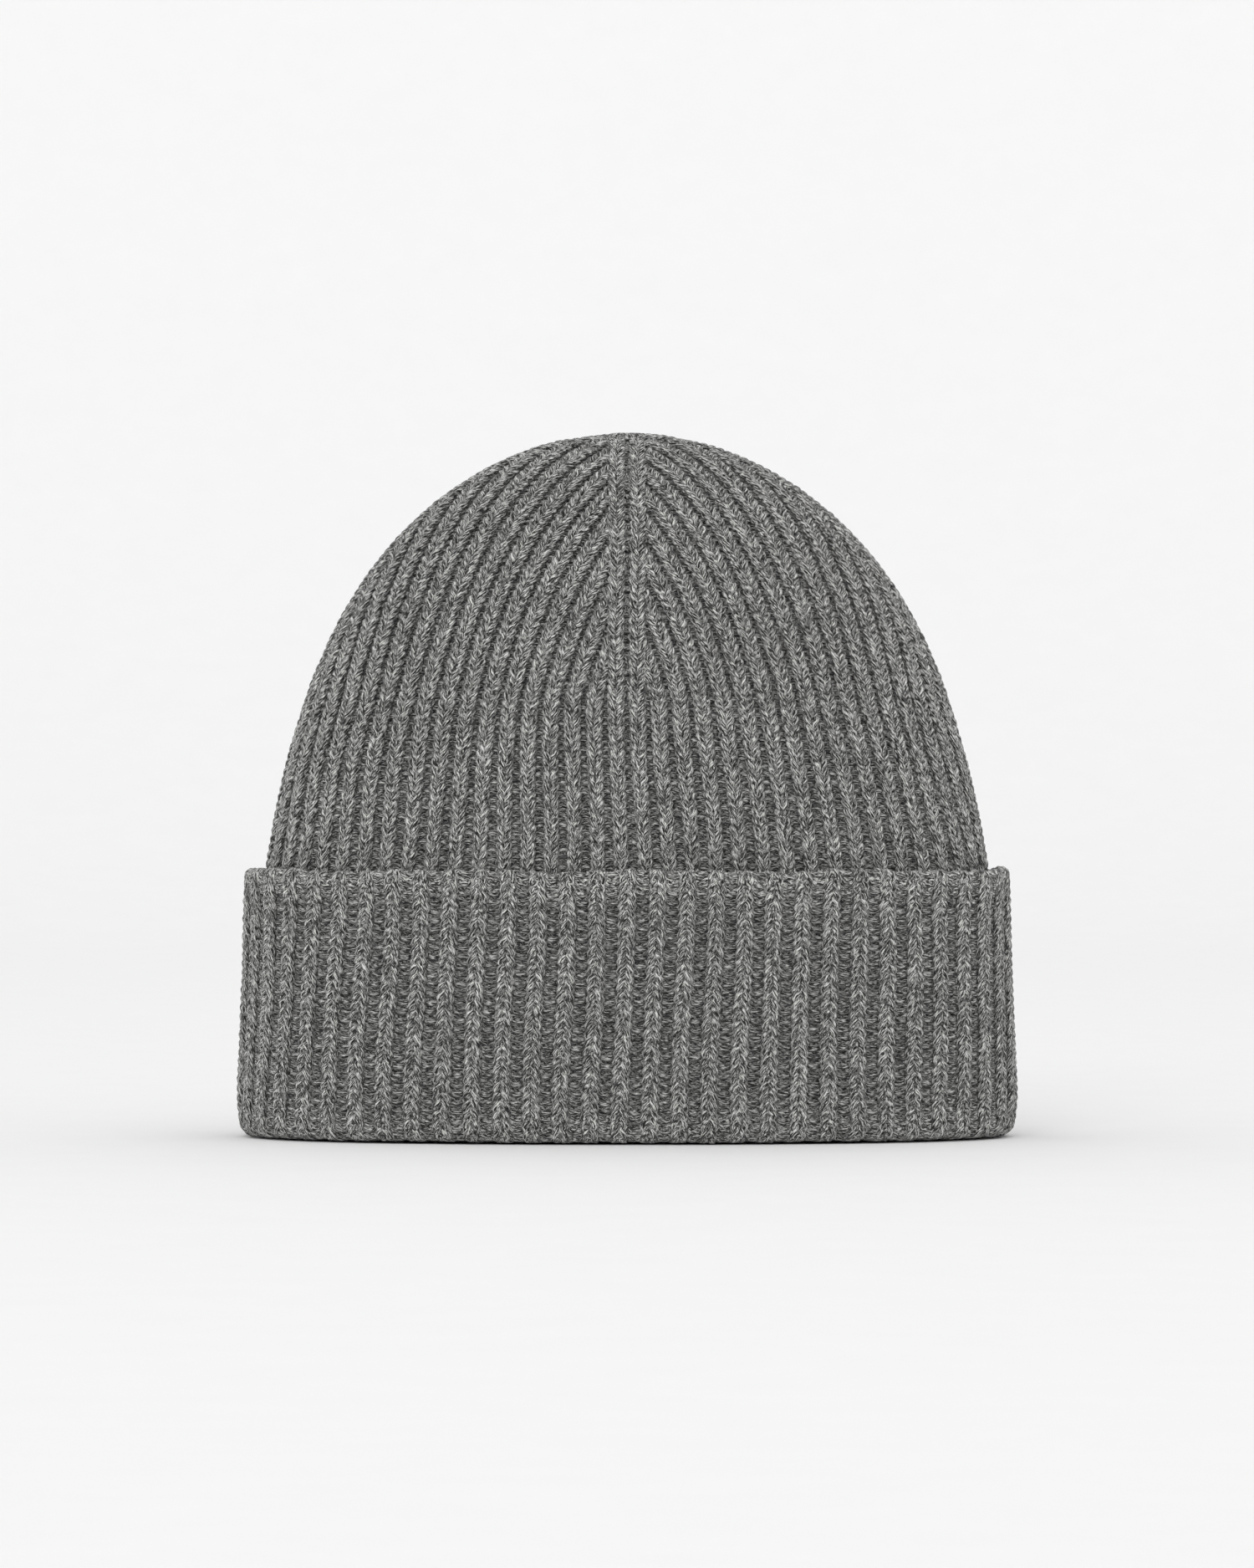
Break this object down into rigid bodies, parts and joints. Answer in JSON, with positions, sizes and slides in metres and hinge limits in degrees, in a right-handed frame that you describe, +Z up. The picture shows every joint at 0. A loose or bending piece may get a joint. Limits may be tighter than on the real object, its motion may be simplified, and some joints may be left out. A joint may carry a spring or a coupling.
{
  "type": "knit beanie",
  "caption": "Rib-knit wool beanie with a shaped crown and a deep turned-up cuff, standing on its folded rim, with a blank care label inside.",
  "frame": {"origin": "the middle of the folded rim, on the surface that the hat stands on", "axes": "+Z up through the closed apex, -Y is the front, +X is to the right when facing the front; the linked seam runs up the back at +Y"},
  "size_m": [0.2194, 0.1062, 0.198],
  "materials": {
    "crown_knit": "soft heathered mid-grey wool rib, matt",
    "cuff_knit": "soft heathered mid-grey wool rib, matt",
    "seam_yarn": "linked seam in the same wool, matt",
    "label_woven": "fine black woven tape, matt",
    "label_thread": "grey sewing thread",
    "label_satin": "off-white satin tape, slight sheen"
  },
  "bodies": {
    "cuff": {"cuff_layer": "cuff_knit", "cuff_fold": "cuff_knit", "cuff_welt": "cuff_knit", "cuff_seam": "seam_yarn"},
    "crown": {"crown": "crown_knit", "inner_band": "crown_knit", "back_seam": "seam_yarn", "crown_gather": "crown_knit", "closing_knot": "seam_yarn", "woven_label": "label_woven", "label_stitches": "label_thread", "care_label_tab": "label_satin"},
    "care_label": {"care_label": "label_satin"}
  },
  "joints": [
    {"name": "cuff_unfold", "type": "slide", "parent": "cuff", "child": "crown", "axis": [0, 0, 1], "range_m": [0, 0.062]},
    {"name": "care_label_flip", "type": "hinge", "parent": "crown", "child": "care_label", "pos_m": [0, 0.0366, 0.044], "axis": [-1, 0, 0], "range_deg": [0, 110]}
  ]
}
